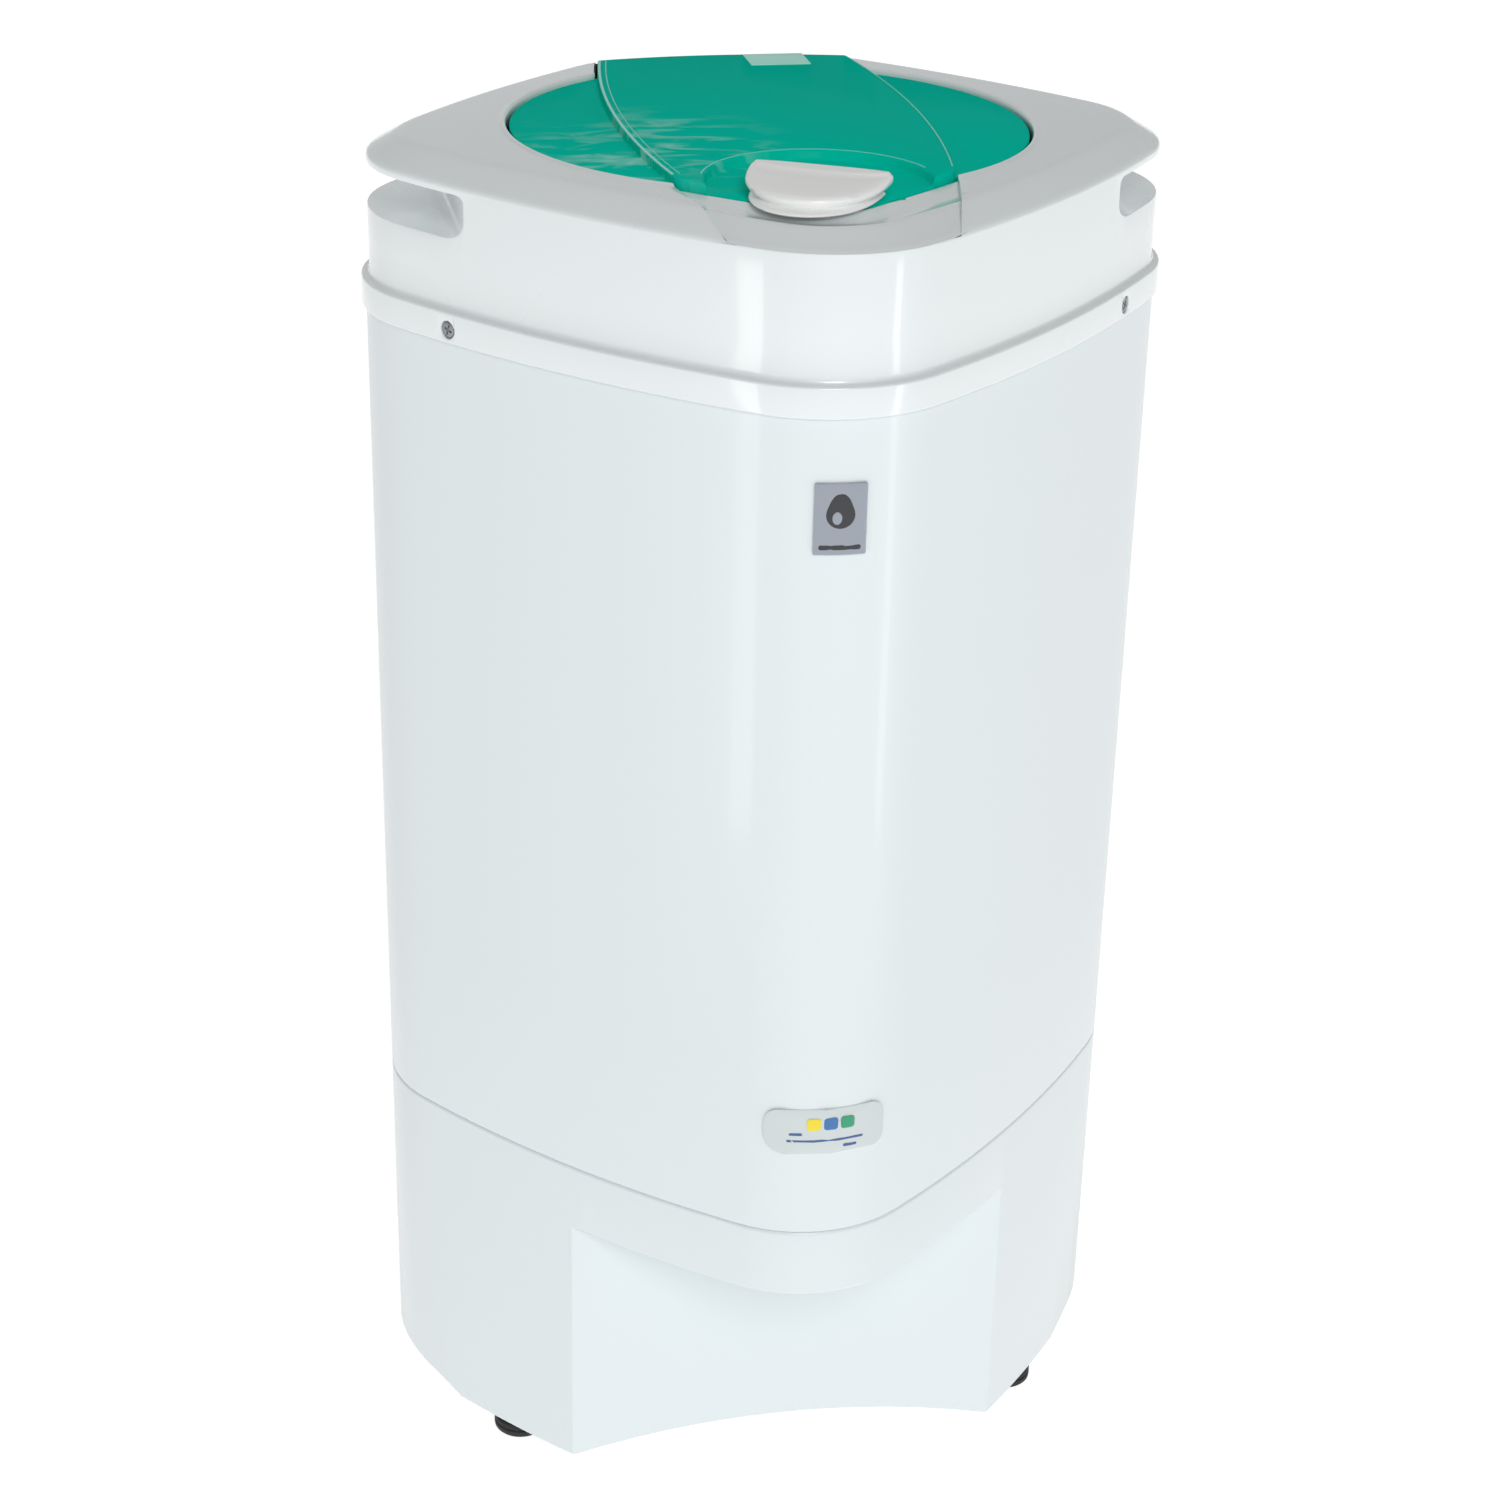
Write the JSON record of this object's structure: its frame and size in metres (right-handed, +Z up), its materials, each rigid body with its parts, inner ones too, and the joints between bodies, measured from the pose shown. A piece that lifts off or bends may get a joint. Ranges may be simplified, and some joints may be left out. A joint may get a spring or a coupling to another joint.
{
  "type": "portable centrifugal spin dryer",
  "caption": "Free-standing spin dryer: rounded-square white cabinet set corner-on, hinged tinted lid with turn latch, steel spin drum in a tub, sprung motor.",
  "frame": {"origin": "on the floor under the middle of the cabinet", "axes": "+Z up along the drum's axis; -Y towards the latch corner at the front, +Y towards the lid hinge and drain; the two handle recesses lie at -X and +X"},
  "size_m": [0.341, 0.341, 0.612],
  "materials": {
    "white_gloss": "gloss moulding",
    "white_knob": "gloss moulding",
    "emerald_clear": "tinted clear, polished",
    "black_rubber": "moulded",
    "grey_rubber": "moulded",
    "stainless": "fine brushed",
    "zinc_steel": "zinc plated",
    "spring_steel": "oiled spring wire",
    "aluminium": "cast and turned",
    "copper": "varnished copper wire",
    "lamination": "stacked sheet",
    "painted_grey": "satin enamel",
    "tub_plastic": "satin moulding",
    "black_plastic": "satin moulding",
    "brake_lining": "pressed fibre",
    "badge_silver": "silver print under clear film",
    "badge_pale": "printed under a clear dome"
  },
  "bodies": {
    "cabinet": {"base_housing": "white_gloss", "body_casing": "white_gloss", "top_cover": "white_gloss", "chassis_plate": "zinc_steel", "cable_gland": "black_plastic", "badge_upper": "badge_silver", "badge_lower": "badge_pale", "hinge_pin": "stainless", "hinge_bracket_left": "white_gloss", "hinge_bracket_right": "white_gloss", "interlock_switch": "black_plastic", "switch_bracket": "zinc_steel", "outer_tub": "tub_plastic", "tub_cover_ring": "tub_plastic", "tub_gasket": "grey_rubber", "shaft_seal": "black_rubber", "brake_cable": "black_plastic", "drain_hose": "grey_rubber", "drain_spout": "white_gloss", "run_capacitor": "aluminium", "terminal_block": "black_plastic", "foot_front_left": "black_rubber", "cover_screw_front_left": "zinc_steel", "foot_front_right": "black_rubber", "cover_screw_front_right": "zinc_steel", "foot_rear_left": "black_rubber", "cover_screw_rear_left": "zinc_steel", "foot_rear_right": "black_rubber", "cover_screw_rear_right": "zinc_steel", "mount_bush_rear": "black_rubber", "mount_spring_rear": "spring_steel", "mount_bush_left": "black_rubber", "mount_spring_left": "spring_steel", "mount_bush_right": "black_rubber", "mount_spring_right": "spring_steel"},
    "lid": {"lid_window": "emerald_clear", "latch_spacer": "black_plastic"},
    "latch": {"latch_knob": "white_knob", "latch_spindle": "zinc_steel", "latch_tongue": "zinc_steel"},
    "interlock": {"interlock_plunger": "black_plastic"},
    "motor_unit": {"motor_plate": "zinc_steel", "motor_housing": "painted_grey", "motor_end_cap": "aluminium", "motor_stator": "lamination", "stator_winding_lower": "copper", "stator_winding_upper": "copper", "bearing_upper": "stainless", "bearing_lower": "stainless", "brake_pin": "zinc_steel", "cable_stop": "zinc_steel"},
    "drum": {"spin_drum": "stainless", "drum_hub": "aluminium", "hub_nut": "zinc_steel", "hub_cap": "tub_plastic", "drive_shaft": "stainless", "motor_rotor": "lamination", "brake_disc": "zinc_steel"},
    "brake_lever": {"brake_lever": "zinc_steel", "brake_lining": "brake_lining"}
  },
  "joints": [
    {"name": "lid_hinge", "type": "hinge", "parent": "cabinet", "child": "lid", "pos_m": [0, 0.1225, 0.5975], "axis": [-1, 0, 0], "range_deg": [0, 95]},
    {"name": "latch_turn", "type": "hinge", "parent": "lid", "child": "latch", "pos_m": [0, -0.104, 0.6], "axis": [0, 0, 1], "range_deg": [0, 90]},
    {"name": "interlock_slide", "type": "slide", "parent": "cabinet", "child": "interlock", "axis": [0, 0, -1], "range_m": [0, 0.0034]},
    {"name": "suspension", "type": "slide", "parent": "cabinet", "child": "motor_unit", "axis": [0, 0, 1], "range_m": [-0.003, 0.003], "stiffness_N_per_m": 9000, "springref_m": 0.00873, "deforming": ["mount_spring_rear", "mount_spring_left", "mount_spring_right"]},
    {"name": "drum_spin", "type": "hinge", "parent": "motor_unit", "child": "drum", "pos_m": [0, 0, 0.0753], "axis": [0, 0, 1], "continuous": true},
    {"name": "brake_turn", "type": "hinge", "parent": "motor_unit", "child": "brake_lever", "pos_m": [0.048, 0.024, 0.06], "axis": [0, 0, 1], "range_deg": [0, 1.8]}
  ],
  "couplings": [
    {"joint": "interlock_slide", "follows": "latch_turn", "m_per_rad": 0.00204},
    {"joint": "brake_turn", "follows": "latch_turn", "ratio": 0.019}
  ]
}
